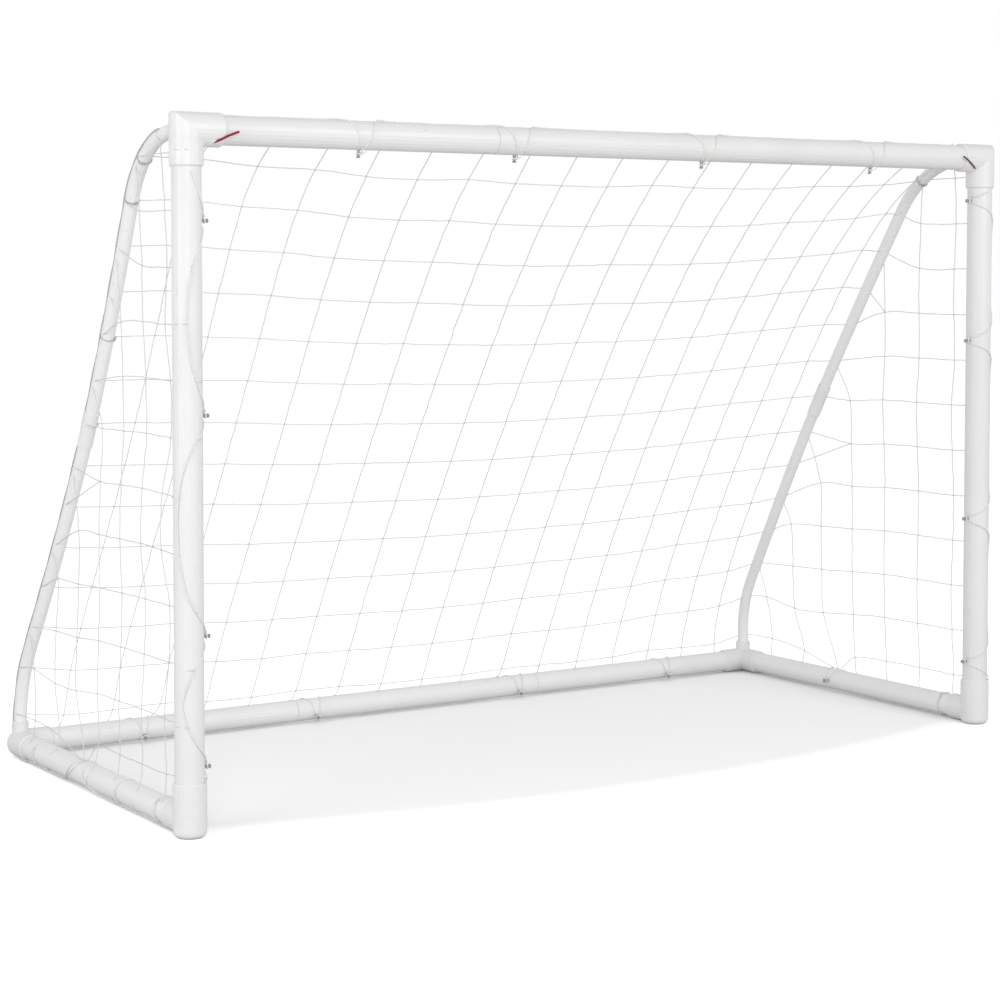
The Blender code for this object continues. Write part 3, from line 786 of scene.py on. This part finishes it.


# --- Studio ----------------------------------------------------------------------------------
# A plain pale floor with a painted shadow: a faint grey area inside the goal. Three broad soft
# lights stand at the front left, the front right and low on the left, under a pale dome.

floor_paint = Finish("studio_floor")
spot = floor_paint.node("ShaderNodeSeparateXYZ", {}, {0: floor_paint.place()})
spot_y = Shade(floor_paint, spot.socket.node.outputs[1])
# Painted shadow: the floor is greyer inside the goal's footprint, fading out over a soft curved
# front edge.
front = ((spot_y - FRONT_Y + 0.17 - spot * spot * 0.16) * 9.0).held()
from_middle = spot.sum("ABSOLUTE", spot, 0.0)
inside = ((REAR_Y + 0.01 - spot_y) * 40.0).held() * ((POST_X + 0.01 - from_middle) * 40.0).held()
floor_with_painted_shadow = floor_paint.colour(front * inside * 0.88, (1.62, 1.62, 1.62), (1.09, 1.09, 1.09))
seen_floor = floor_paint.node("ShaderNodeBsdfDiffuse", {}, {0: floor_with_painted_shadow})
lit_floor = floor_paint.node("ShaderNodeBsdfDiffuse", {}, {0: (0.68, 0.68, 0.68)})
whose = floor_paint.node("ShaderNodeLightPath")
floor_mix = floor_paint.node("ShaderNodeMixShader", {}, {0: whose, 1: lit_floor, 2: seen_floor})
floor_paint.tree.links.new(floor_mix.socket, floor_paint.output.inputs[0])
bpy.ops.mesh.primitive_plane_add(size=60.0, location=(0.0, 0.0, -0.0005))
floor = bpy.context.object
floor.name = "studio_floor"
floor.data.materials.append(floor_paint.material)


def softbox(name, place, aim, size, watts):
    lamp = bpy.data.lights.new(name, "AREA")
    lamp.shape, lamp.size, lamp.size_y, lamp.energy = "RECTANGLE", size[0], size[1], watts
    held_up = bpy.data.objects.new(name, lamp)
    held_up.location = place
    held_up.rotation_euler = (Vector(aim) - Vector(place)).to_track_quat("-Z", "Y").to_euler()
    bpy.context.scene.collection.objects.link(held_up)


softbox("key_light", (-2.3, -3.9, 1.9), (-0.3, 0.0, 0.6), (1.5, 1.5), 28.0)
softbox("front_light", (1.5, -4.6, 1.9), (0.6, 0.0, 0.6), (1.2, 1.6), 40.0)
softbox("side_light", (-3.3, -1.1, 1.1), (-0.9, -0.1, 0.1), (1.4, 1.2), 16.0)

world = bpy.data.worlds.new("studio")
world.use_nodes = True
bpy.context.scene.world = world
nodes, links = world.node_tree.nodes, world.node_tree.links
nodes.clear()
seen, around = nodes.new("ShaderNodeBackground"), nodes.new("ShaderNodeBackground")
seen.inputs[0].default_value, seen.inputs[1].default_value = (1.0, 1.0, 1.0, 1.0), 1.0
toward, height = nodes.new("ShaderNodeTexCoord"), nodes.new("ShaderNodeSeparateXYZ")
dome = nodes.new("ShaderNodeMapRange")
dome.inputs["To Min"].default_value, dome.inputs["To Max"].default_value = 1.13, 0.63
ray, choice = nodes.new("ShaderNodeLightPath"), nodes.new("ShaderNodeMixShader")
world_out = nodes.new("ShaderNodeOutputWorld")
for start_from, go_to in ((toward.outputs["Generated"], height.inputs[0]),
                          (height.outputs["Z"], dome.inputs["Value"]),
                          (dome.outputs[0], around.inputs["Strength"]),
                          (ray.outputs["Is Camera Ray"], choice.inputs[0]),
                          (around.outputs[0], choice.inputs[1]),
                          (seen.outputs[0], choice.inputs[2]),
                          (choice.outputs[0], world_out.inputs[0])):
    links.new(start_from, go_to)

lens = bpy.data.cameras.new("camera")
lens.lens, lens.sensor_width = 82.26, 36.0
lens.shift_x, lens.shift_y = 0.039, -0.120
lens.clip_end = 100.0
camera = bpy.data.objects.new("camera", lens)
camera.location = (-2.5774, -3.8488, 0.9503)
camera.rotation_euler = (math.radians(87.323), 0.0, math.radians(-32.447))
bpy.context.scene.collection.objects.link(camera)
bpy.context.scene.camera = camera
bpy.context.scene.view_settings.view_transform = "Standard"
